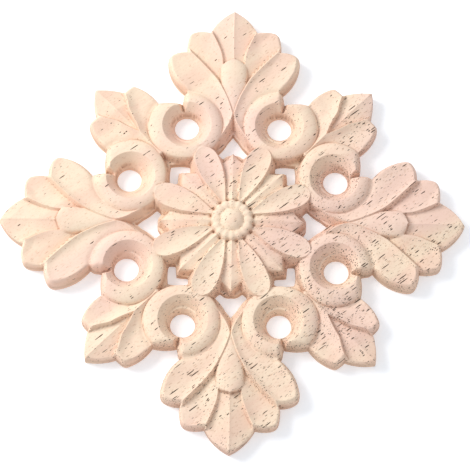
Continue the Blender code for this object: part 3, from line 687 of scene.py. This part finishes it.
# %% Cover one eighth with triangles
NET = 0.56
CLEAR_OF_LINES = 0.6 * NET
PAST_ARM = 101.0
PAST_DIAGONAL = 63.0
ON_SEAM = 1e-3
# How far to the left of an edge its side lines run
OUTLINE_GAPS = (0.0, -0.25, -0.7)
WINDOW_GAP = 0.3
STEP_GAPS = (0.0, -0.5, -1.0)
CREST_GAPS = (-0.4, 0.0, 0.4)
BAND_GAPS = (0.0, -0.35)
BLADE_GAP = -0.35

eighth = np.vstack(([(0.0, 0.0)], outline))


def shifted(line, gap):
    """A curve moved sideways to its left."""
    run = np.gradient(line, axis=0)
    run /= np.hypot(run[:, 0], run[:, 1])[:, None]
    return line + gap * np.column_stack((-run[:, 1], run[:, 0]))


def band_line(gap):
    """Line along the outer edge of the ring, from the cluster round to the bulb."""
    last = bearing(BULB_START) - 2.0 * math.pi
    line = sector(RING_CENTRE, BAND_RADIUS, bearing(CLUSTER_NOTCH), last)[1:-1]
    away = (line - RING_CENTRE) / BAND_RADIUS
    return RING_CENTRE + away * (band_radius(line) + gap)[:, None]


def feature_lines():
    """Every line that the triangles' edges follow."""
    windows = [arm_window, diagonal_window]
    lines = [shifted(outline, gap) for gap in OUTLINE_GAPS] + windows
    lines += [shifted(window, WINDOW_GAP)[1:-1] for window in windows]
    for step in (upper_step, lower_step, corner_step):
        lines += [shifted(step, gap) for gap in STEP_GAPS]
    lines += [strip_edge, closed(hole), closed(circle(RING_CENTRE, COLLAR_RADIUS))]
    crest_centre = np.add(RING_CENTRE, CREST_SHIFT)
    lines += [closed(circle(crest_centre, CREST_RADIUS + gap)) for gap in CREST_GAPS]
    lines += [band_line(gap) for gap in BAND_GAPS]
    for shape in (blade(*PETAL), blade(*BUD), sepal(0.0), sepal(DIAGONAL_ANGLE)):
        lines += [closed(shape), shifted(closed(shape), BLADE_GAP)[1:-1]]
    lines += [closed(circle((0.0, 0.0), radius)) for radius in (BUTTON_RADIUS, BOSS_RADIUS)]
    for end in ((0.0, PAST_ARM), (PAST_DIAGONAL, PAST_DIAGONAL)):
        lines.append(bow((0.0, 0.0), end, 0.0, NET))
    return lines


def net_points(lines):
    """Points of a triangular net, clear of every line."""
    rows = np.arange(0.0, PAST_ARM, NET * math.sqrt(0.75))
    columns = np.arange(0.0, CORNER_TIP[0] + 1.0, NET)
    x = columns[None, :] + 0.5 * NET * (np.arange(len(rows)) % 2)[:, None]
    net = np.column_stack((x.ravel(), np.repeat(rows, len(columns))))
    net = net[(net[:, 1] > net[:, 0]) & inside(net, eighth)]
    taken = KDTree(sum(len(line) for line in lines))
    for line in lines:
        for x, y in line:
            taken.insert((x, y, 0.0), 0)
    taken.balance()
    return np.array([point for point in net if taken.find((*point, 0.0))[2] > CLEAR_OF_LINES])


def in_wood(corners, triangles):
    """Triangles that lie in the wood of the eighth."""
    middle = corners[triangles].mean(1)
    keep = inside(middle, eighth) & (middle[:, 0] > 0.0) & (middle[:, 1] > middle[:, 0])
    for loop in (arm_opening, diagonal_opening, hole):
        keep &= ~inside(middle, loop)
    return triangles[keep]


def triangulate(corners, edges):
    """Delaunay triangles that keep the given edges."""
    result = delaunay_2d_cdt([Vector(corner) for corner in corners], edges, [], 0, 1e-5)
    return np.array([tuple(v) for v in result[0]]), np.array(result[2]), result[3]


def face_of_eighth():
    lines = feature_lines()
    corners, edges = [], []
    for line in lines:
        edges.extend((len(corners) + i, len(corners) + i + 1) for i in range(len(line) - 1))
        corners.extend(line.tolist())
    corners.extend(net_points(lines).tolist())
    corners, triangles, _ = triangulate(corners, edges)
    used, triangles = np.unique(in_wood(corners, triangles), return_inverse=True)
    corners = corners[used]
    corners[np.abs(corners[:, 0]) < ON_SEAM, 0] = 0.0
    on_diagonal = np.abs(corners[:, 1] - corners[:, 0]) < ON_SEAM
    corners[on_diagonal, 1] = corners[on_diagonal, 0]
    return corners, triangles.reshape(-1, 3)


face_corners, face_triangles = face_of_eighth()
print("face of one eighth:", len(face_corners), "corners,", len(face_triangles), "triangles")

# %% Close the eighth with a flat back
def open_edges(triangles):
    """Directed edges used by one triangle only."""
    edges = np.vstack((triangles[:, [0, 1]], triangles[:, [1, 2]], triangles[:, [2, 0]]))
    seen = {tuple(edge) for edge in edges.tolist()}
    return [edge for edge in seen if (edge[1], edge[0]) not in seen]


def on_seams(corners):
    """Which corners lie on the arm's seam, and which on the diagonal's."""
    return corners[:, 0] == 0.0, corners[:, 0] == corners[:, 1]


def seam_runs(corners, edges):
    """Straight runs of wood along each seam, by their two end corners."""
    runs = []
    for on_seam in on_seams(corners):
        ends = [v for edge in edges if on_seam[edge[0]] and on_seam[edge[1]] for v in edge]
        single = sorted((v for v in set(ends) if ends.count(v) == 1), key=lambda v: corners[v, 1])
        runs.extend(zip(single[0::2], single[1::2]))
    return runs


def solid_eighth(corners, top):
    """Corners in metres and faces of the eighth, open only at its two seams."""
    edges = open_edges(top)
    rim = [(a, b) for a, b in edges
           if not any(on_seam[a] and on_seam[b] for on_seam in on_seams(corners))]
    runs = seam_runs(corners, edges)
    used = sorted({v for edge in rim + runs for v in edge})
    place = {v: i for i, v in enumerate(used)}
    back_edges = [(place[a], place[b]) for a, b in rim + runs]
    back_corners, back, source = triangulate(corners[used].tolist(), back_edges)
    back = in_wood(back_corners, back)
    origin = {i: first[0] for i, first in enumerate(source) if first}
    top_points = np.column_stack((corners, height_of(corners)))
    back_points = np.column_stack((corners[used], np.zeros(len(used))))
    base = len(corners)
    faces = top.tolist()
    faces += [[base + origin[c], base + origin[b], base + origin[a]] for a, b, c in back.tolist()]
    for a, b in rim:
        faces.append([b, a, base + place[a], base + place[b]])
    return np.vstack((top_points, back_points)) * UNIT, faces


points, faces = solid_eighth(face_corners, face_triangles)
eighth_mesh = bpy.data.meshes.new("one_eighth")
eighth_mesh.from_pydata(points.tolist(), [], faces)
print("one eighth:", len(faces), "faces, highest point", round(points[:, 2].max() * 1000, 2), "mm")

# %% [markdown]
# Painted crease shade and darker end grain
#
# Two things darken the face: painted shade along the bottom of each cut, where a crease lies in
# shadow, and the darker end grain of raw wood on a steep wall. Both depend on the shape alone, so
# they are measured from the height rule, a short step away in six directions, and kept as two
# attributes that the material can read.

# %% Measure creases for painted shade, and steep walls
PROBE = 0.45
PROBES = 6
# Mean rise round a corner between which a crease goes from no painted shade to full painted shade
CREASE_SHADE_LEAST = 0.05
CREASE_SHADE_MOST = 0.4
WALL_LEAST = 0.9
WALL_MOST = 2.6


def crease_shade_and_walls(corners):
    """How much each corner lies in the bottom of a cut, which gets painted shade, and on a steep
    wall, from 0 to 1.
    """
    here = height_of(corners)
    total = np.zeros(len(corners))
    slope = np.zeros((len(corners), 2))
    for turn in np.arange(PROBES) * 2.0 * math.pi / PROBES:
        way = np.array([math.cos(turn), math.sin(turn)])
        rise = height_of(corners + PROBE * way) - here
        total += rise / PROBES
        slope += np.outer(rise, way) * 2.0 / (PROBES * PROBE)
    cut = np.clip((total - CREASE_SHADE_LEAST) / (CREASE_SHADE_MOST - CREASE_SHADE_LEAST), 0.0, 1.0)
    wall = np.clip((np.hypot(*slope.T) - WALL_LEAST) / (WALL_MOST - WALL_LEAST), 0.0, 1.0)
    return cut, wall


# cut says where shade is painted into the creases, wall where the darker end grain shows
cut, wall = crease_shade_and_walls(face_corners)
back_count = len(points) - len(face_corners)
for name, values, at_back in (("cut", cut, 0.0), ("end_grain", wall, 1.0)):
    layer = eighth_mesh.attributes.new(name, "FLOAT", "POINT")
    layer.data.foreach_set("value", np.concatenate((values, np.full(back_count, at_back))))
print("corners in cuts:", int((cut > 0.3).sum()), "and on walls:", int((wall > 0.3).sum()))

# %% [markdown]
# Repeating the eighth with Geometry Nodes
#
# The real pattern is cut four arms to a turn, and each arm mirrors itself. The tree says just that:
# mirror the eighth, put the pair on as many points as there are arms, turn each one further, and
# weld the seams. Copying in Python would work too, but in a tree the number of arms, the weld and
# the carver's wander stay inputs that anyone can change. Two noises then move the surface: a broad
# one that lets the lines drift sideways, and a fine one that leaves faint tool marks.

# %% Build the tree that repeats the eighth
ARMS = 4
WELD = 0.004 * UNIT
DRIFT = 0.35 * UNIT
DRIFT_SIZE = 26.0 * UNIT
TOOL_MARKS = 0.12 * UNIT
TOOL_MARK_SIZE = 5.5 * UNIT
CREASE_ANGLE = math.radians(42.0)
SEED = 7
# Shares of the half span and of the height between which the wander fades
TIP_ZONE = (0.9, 0.995)
FOOT_ZONE = (0.16, 0.4)
TOP_ZONE = (0.9, 1.0)


def add_node(tree, kind, inputs=None, output=0, **properties):
    """Adds a node and returns one output. An input takes another node's output or a plain value."""
    node = tree.nodes.new(kind)
    for key, value in properties.items():
        setattr(node, key, value)
    for key, value in (inputs or {}).items():
        if isinstance(value, bpy.types.NodeSocket):
            tree.links.new(value, node.inputs[key])
        else:
            node.inputs[key].default_value = value
    return node.outputs[output]


def add_math(tree, operation, a, b=0.5):
    """Adds a math node fed by outputs or by plain numbers."""
    return add_node(tree, "ShaderNodeMath", {0: a, 1: b}, operation=operation)


def repeat_tree():
    tree = bpy.data.node_groups.new("repeat_eighth", "GeometryNodeTree")
    new, calc = partial(add_node, tree), partial(add_math, tree)
    kinds = {"Geometry": "Geometry", "Arms": "Int", "Material": "Material"}
    for name in ("Geometry", "Arms", "Weld", "Drift", "Drift Size", "Tool Marks", "Tool Mark Size",
                 "Half Span", "Height", "Crease Angle", "Seed", "Material"):
        socket_type = "NodeSocket" + kinds.get(name, "Float")
        tree.interface.new_socket(name, in_out="INPUT", socket_type=socket_type)
    tree.interface.new_socket("Geometry", in_out="OUTPUT", socket_type="NodeSocketGeometry")
    entry = tree.nodes.new("NodeGroupInput").outputs

    mirrored = new("GeometryNodeTransform",
                   {"Geometry": entry["Geometry"], "Scale": (-1.0, 1.0, 1.0)})
    pair = new("GeometryNodeJoinGeometry", {0: entry["Geometry"]})
    tree.links.new(new("GeometryNodeFlipFaces", {0: mirrored}), pair.node.inputs[0])
    angle = calc("MULTIPLY", new("GeometryNodeInputIndex"), 2.0 * math.pi)
    turn = new("ShaderNodeCombineXYZ", {"Z": calc("DIVIDE", angle, entry["Arms"])})
    arms = new("GeometryNodePoints", {"Count": entry["Arms"]})
    turned = new("GeometryNodeInstanceOnPoints",
                 {"Points": arms, "Instance": pair, "Rotation": turn})
    copies = new("GeometryNodeRealizeInstances", {0: turned})
    whole = new("GeometryNodeMergeByDistance", {"Geometry": copies, "Distance": entry["Weld"]})

    position = new("GeometryNodeInputPosition")
    x, y, z = new("ShaderNodeSeparateXYZ", {0: position}).node.outputs

    def noise(size, detail, seed_step):
        """Three numbers round zero that wander over the given size."""
        scaled = new("ShaderNodeVectorMath", {0: position, "Scale": calc("DIVIDE", 1.0, size)},
                     operation="SCALE")
        colour = new("ShaderNodeTexNoise",
                     {"Vector": scaled, "W": calc("ADD", entry["Seed"], seed_step), "Scale": 1.0,
                      "Detail": detail}, "Color", noise_dimensions="4D")
        parts = new("ShaderNodeSeparateXYZ", {0: colour}).node.outputs
        return [calc("SUBTRACT", part, 0.5) for part in parts]

    def fade(value, whole_size, start, end, low=1.0, high=0.0):
        """Goes from low to high between two shares of a size."""
        return new("ShaderNodeMapRange",
                   {"Value": value, "From Min": calc("MULTIPLY", whole_size, start),
                    "From Max": calc("MULTIPLY", whole_size, end), "To Min": low, "To Max": high})

    def wander(part, reach, kept):
        """Distance moved: a noise times its reach, where it is kept."""
        return calc("MULTIPLY", calc("MULTIPLY", part, calc("MULTIPLY", reach, 2.0)), kept)

    drift = noise(entry["Drift Size"], 1.0, 0.0)
    marks = noise(entry["Tool Mark Size"], 2.0, 10.0)
    kept_x = fade(calc("ABSOLUTE", x), entry["Half Span"], *TIP_ZONE)
    kept_y = fade(calc("ABSOLUTE", y), entry["Half Span"], *TIP_ZONE)
    kept_z = calc("MULTIPLY", fade(z, entry["Height"], *FOOT_ZONE, 0.0, 1.0),
                  fade(z, entry["Height"], *TOP_ZONE))
    offset = new("ShaderNodeCombineXYZ", {"X": wander(drift[0], entry["Drift"], kept_x),
                                          "Y": wander(drift[1], entry["Drift"], kept_y),
                                          "Z": wander(marks[2], entry["Tool Marks"], kept_z)})
    moved = new("GeometryNodeSetPosition", {"Geometry": whole, "Offset": offset})

    smooth = new("GeometryNodeSetShadeSmooth", {"Geometry": moved})
    sharp = calc("GREATER_THAN", new("GeometryNodeInputMeshEdgeAngle"), entry["Crease Angle"])
    creased = new("GeometryNodeSetShadeSmooth",
                  {"Geometry": smooth, "Selection": sharp, "Shade Smooth": False}, domain="EDGE")
    finished = new("GeometryNodeSetMaterial", {"Geometry": creased, "Material": entry["Material"]})
    tree.links.new(finished, tree.nodes.new("NodeGroupOutput").inputs[0])
    return tree


repeat_eighth = repeat_tree()
print("the tree has", len(repeat_eighth.nodes), "nodes")

# %% [markdown]
# Raw rubberwood
#
# The wood is unfinished rubberwood: pale peach, with cream and pinkish streaks, and many open
# vessels. Where the face runs along the grain a vessel shows as a short dark dash, and where a wall
# cuts across the grain it shows as a dot. A picture could not wrap round the carving like that, so
# the vessels are a solid pattern: long thin cells that lie along the grain in Object coordinates.
# Long and short ones lie in patches, small ones stipple the walls, and all crowd toward the east,
# where the wood is more open.

# %% Make the wood
GRAIN_ANGLE = math.radians(38.5)
GRAIN_DIP = math.radians(5.0)
CREAM = (0.93, 0.74, 0.56, 1.0)
PEACH = (0.90, 0.65, 0.50, 1.0)
PINK = (0.88, 0.62, 0.53, 1.0)
TAN = (0.62, 0.38, 0.24, 1.0)
# Painted shade: the brown laid along the bottom of every cut
CREASE_SHADE_BROWN = (0.34, 0.16, 0.09, 1.0)
END_GRAIN = (0.74, 0.47, 0.34, 1.0)
PORE_DARK = (0.05, 0.028, 0.016, 1.0)
ROUGHNESS = 0.82
SPECULAR = 0.15
# Length and width of the cells, and the least and most that a vessel fills of its cell
LONG_VESSELS = (10.5, 0.78, 0.06, 0.30)
SHORT_VESSELS = (2.4, 0.55, 0.10, 0.27)
STIPPLE = (1.4, 0.62, 0.14, 0.33)
FAINT_VESSELS = (3.2, 0.50, 0.12, 0.30)
VESSEL_EDGE = (1.15, 0.8)
# Length and width of the waves of a noise, and its detail
PATCHES = (40.0, 16.0, 2.0)
STREAKS = (60.0, 7.0, 3.0)
BLUSH = (55.0, 34.0, 1.0)
SPECKS = (1.1, 0.7, 1.0)
FIBRES = (7.0, 0.45, 3.0)
FIBRE_ROUGHNESS = 0.6
# From where to where, going east, the wood opens, how far that line leans, the share of cells with
# a vessel before it, and what the open side adds
OPEN_FROM = -60.0
OPEN_TO = 40.0
LEAN = 0.8
LEAST_OPEN = 0.06
MOST_OPEN = 0.62
BUMP_STRENGTH = 0.6
BUMP_DEPTH = 0.25


def wood_material():
    material = bpy.data.materials.new("raw_rubberwood")
    material.use_nodes = True
    tree = material.node_tree
    new, calc = partial(add_node, tree), partial(add_math, tree)
    place = new("ShaderNodeTexCoord", output="Object")

    def grain_space(long, wide):
        """Coordinates along and across the grain, in cells of the given size."""
        return new("ShaderNodeMapping",
                   {"Vector": place, "Rotation": (0.0, GRAIN_DIP, GRAIN_ANGLE),
                    "Scale": (long * UNIT, wide * UNIT, wide * UNIT)}, vector_type="TEXTURE")

    def noise(long, wide, detail, roughness=0.5):
        return new("ShaderNodeTexNoise", {"Vector": grain_space(long, wide), "Scale": 1.0,
                                          "Detail": detail, "Roughness": roughness})

    def ramp(value, start, end, low=0.0, high=1.0):
        return new("ShaderNodeMapRange", {"Value": value, "From Min": start, "From Max": end,
                                          "To Min": low, "To Max": high},
                   interpolation_type="SMOOTHSTEP")

    def mix(share, a, b):
        return new("ShaderNodeMix", {0: share, 6: a, 7: b}, 2, data_type="RGBA")

    def kept_on_mesh(name):
        return new("ShaderNodeAttribute", None, "Fac", attribute_name=name,
                   attribute_type="GEOMETRY")

    def vessels(long, wide, least, most, share):
        """Ellipsoids in a share of long cells: 1 inside a vessel and 0 outside."""
        cells = new("ShaderNodeTexVoronoi", {"Vector": grain_space(long, wide), "Scale": 1.0,
                                             "Randomness": 1.0}).node.outputs
        chance = new("ShaderNodeSeparateColor", {0: cells["Color"]}).node.outputs
        edge = calc("DIVIDE", cells["Distance"], ramp(chance[0], 0.0, 1.0, least, most))
        return calc("MULTIPLY", ramp(edge, *VESSEL_EDGE), calc("LESS_THAN", chance[1], share))

    x, y, _ = new("ShaderNodeSeparateXYZ", {0: place}).node.outputs
    eastward = calc("SUBTRACT", x, calc("MULTIPLY", y, LEAN))
    open_wood = ramp(eastward, OPEN_FROM * UNIT, OPEN_TO * UNIT, 0.0, MOST_OPEN)
    patches = ramp(noise(*PATCHES), 0.35, 0.7, 0.35, 1.5)
    dense = calc("MULTIPLY", patches, calc("ADD", open_wood, LEAST_OPEN))
    steep = kept_on_mesh("end_grain")
    cut_across = calc("MULTIPLY", steep, open_wood)
    many = calc("ADD", calc("MULTIPLY", dense, 0.8), cut_across)
    dark = calc("MAXIMUM", vessels(*LONG_VESSELS, dense),
                calc("MULTIPLY", vessels(*SHORT_VESSELS, many), 0.8))
    dark = calc("MAXIMUM", dark, calc("MULTIPLY", vessels(*STIPPLE, cut_across), 0.85))
    faint = vessels(*FAINT_VESSELS, calc("ADD", dense, 0.2))

    fibres = noise(*FIBRES, FIBRE_ROUGHNESS)
    colour = mix(ramp(noise(*STREAKS), 0.36, 0.66), CREAM, PEACH)
    for share, tint in ((ramp(noise(*BLUSH), 0.48, 0.68, 0.0, 0.7), PINK),
                        (ramp(fibres, 0.55, 0.8, 0.0, 0.25), TAN),
                        (ramp(noise(*SPECKS), 0.5, 0.8, 0.0, 0.25), TAN),
                        (calc("MULTIPLY", steep, 0.42), END_GRAIN),
                        # Painted shade: brown along the bottom of every cut, where a crease lies in
                        # shadow
                        (calc("MULTIPLY", kept_on_mesh("cut"), 0.48), CREASE_SHADE_BROWN),
                        (calc("MULTIPLY", faint, 0.6), TAN),
                        (calc("MULTIPLY", dark, 0.97), PORE_DARK)):
        colour = mix(share, colour, tint)

    pores = calc("ADD", dark, calc("MULTIPLY", faint, 0.4))
    relief = calc("SUBTRACT", calc("MULTIPLY", fibres, 0.35), pores)
    bump = new("ShaderNodeBump", {"Height": relief, "Strength": BUMP_STRENGTH,
                                  "Distance": BUMP_DEPTH * UNIT})
    shader = tree.nodes["Principled BSDF"]
    shader.inputs["Roughness"].default_value = ROUGHNESS
    shader.inputs["Specular IOR Level"].default_value = SPECULAR
    tree.links.new(colour, shader.inputs["Base Color"])
    tree.links.new(bump, shader.inputs["Normal"])
    return material


raw_rubberwood = wood_material()
print("the wood has", len(raw_rubberwood.node_tree.nodes), "nodes")

# %% [markdown]
# The finished piece
#
# The tree's inputs are set by their identifiers before anything is evaluated. The result becomes a
# plain mesh, because the export keeps no modifiers' instances, and it takes the place of the plain
# solid in the frame.

# %% Repeat the eighth and put the piece in the frame
def add_object(name, data):
    """Puts a mesh, a light or a camera in the scene."""
    thing = bpy.data.objects.new(name, data)
    bpy.context.scene.collection.objects.link(thing)
    return thing


def run_tree(mesh, tree, values, name):
    """Plain mesh that a tree makes from a mesh."""
    source = add_object(name + "_source", mesh)
    modifier = source.modifiers.new("tree", "NODES")
    modifier.node_group = tree
    for item in tree.interface.items_tree:
        if item.item_type == "SOCKET" and item.in_out == "INPUT" and item.name in values:
            modifier[item.identifier] = values[item.name]
    evaluated = source.evaluated_get(bpy.context.evaluated_depsgraph_get())
    result = bpy.data.meshes.new_from_object(evaluated)
    bpy.data.objects.remove(source, do_unlink=True)
    result.name = name
    return result


carving = run_tree(eighth_mesh, repeat_eighth, {
    "Arms": ARMS,
    "Weld": WELD,
    "Drift": DRIFT,
    "Drift Size": DRIFT_SIZE,
    "Tool Marks": TOOL_MARKS,
    "Tool Mark Size": TOOL_MARK_SIZE,
    "Half Span": 0.5 * (high.x - low.x),
    "Height": high.z - low.z,
    "Crease Angle": CREASE_ANGLE,
    "Seed": float(SEED),
    "Material": raw_rubberwood,
}, "carved_rosette")
carved_rosette = add_object("carved_rosette", carving)
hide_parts("carved_applique")
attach(carved_rosette, "root")
triangle_count = sum(len(polygon.vertices) - 2 for polygon in carving.polygons)
print("carved rosette:", len(carving.vertices), "corners,", triangle_count, "triangles")

# %% [markdown]
# Floor, light and camera
#
# The rosette lies on a white table under a large soft light from the left, with a bright pale
# surround that fills the shadows. The camera looks down steeply from the south, a little turned,
# at the distance and focal length that the repeats of the pattern in the photograph give.

# %% Stage the rosette
FLOOR_COLOUR = (0.92, 0.93, 0.95, 1.0)
FLOOR_ROUGHNESS = 0.9
FLOOR_GLOW = 0.3
FLOOR_LEVEL = -0.0002
FLOOR_REACH = 2.0
SURROUND_COLOUR = (0.93, 0.96, 1.0, 1.0)
SURROUND_STRENGTH = 0.68
KEY_ENERGY = 5.5
KEY_SIZE = 0.4
KEY_PLACE = (-0.6, 0.27, 0.55)

floor_mesh = bpy.data.meshes.new("floor")
floor_corners = [(x * FLOOR_REACH, y * FLOOR_REACH, FLOOR_LEVEL)
                 for x, y in ((-1, -1), (1, -1), (1, 1), (-1, 1))]
floor_mesh.from_pydata(floor_corners, [], [(0, 1, 2, 3)])
floor_material = bpy.data.materials.new("white_table")
floor_material.use_nodes = True
floor_shader = floor_material.node_tree.nodes["Principled BSDF"]
floor_shader.inputs["Base Color"].default_value = FLOOR_COLOUR
floor_shader.inputs["Roughness"].default_value = FLOOR_ROUGHNESS
floor_shader.inputs["Emission Color"].default_value = FLOOR_COLOUR
floor_shader.inputs["Emission Strength"].default_value = FLOOR_GLOW
floor_mesh.materials.append(floor_material)
add_object("floor", floor_mesh)

world = bpy.data.worlds.new("soft_surround")
world.use_nodes = True
surround = world.node_tree.nodes["Background"].inputs
surround["Color"].default_value = SURROUND_COLOUR
surround["Strength"].default_value = SURROUND_STRENGTH
bpy.context.scene.world = world
bpy.context.scene.view_settings.view_transform = "Standard"

key = bpy.data.lights.new("key", "AREA")
key.energy = KEY_ENERGY
key.size = KEY_SIZE
key_object = add_object("key", key)
key_object.location = KEY_PLACE
key_object.rotation_euler = (-Vector(KEY_PLACE)).to_track_quat("-Z", "Y").to_euler()
print("the key light is", round(Vector(KEY_PLACE).length, 2), "m from the rosette")

# %% Set the camera
PICTURE = 470
CAMERA_HEIGHT_ANGLE = math.radians(71.22)
CAMERA_DISTANCE = 0.76115
CAMERA_ROLL = math.radians(0.744)
FOCAL_PIXELS = 1763.0
CENTRE_PIXEL = (231.93, 227.2)
SENSOR = 36.0

camera = bpy.data.cameras.new("camera")
camera.sensor_width = SENSOR
camera.lens = SENSOR * FOCAL_PIXELS / PICTURE
camera.shift_x = (0.5 * PICTURE - CENTRE_PIXEL[0]) / PICTURE
camera.shift_y = (CENTRE_PIXEL[1] - 0.5 * PICTURE) / PICTURE
camera.clip_start = 0.01
camera_object = add_object("camera", camera)
camera_object.location = (0.0, -CAMERA_DISTANCE * math.cos(CAMERA_HEIGHT_ANGLE),
                          CAMERA_DISTANCE * math.sin(CAMERA_HEIGHT_ANGLE))
aim = (-camera_object.location).to_track_quat("-Z", "Y").to_matrix().to_4x4()
camera_object.rotation_euler = (aim @ Matrix.Rotation(CAMERA_ROLL, 4, "Z")).to_euler()
bpy.context.scene.camera = camera_object
print("lens", round(camera.lens, 1), "mm, aimed from", camera_object.location.to_tuple(3))

# %% Update the view layer
bpy.context.view_layer.update()
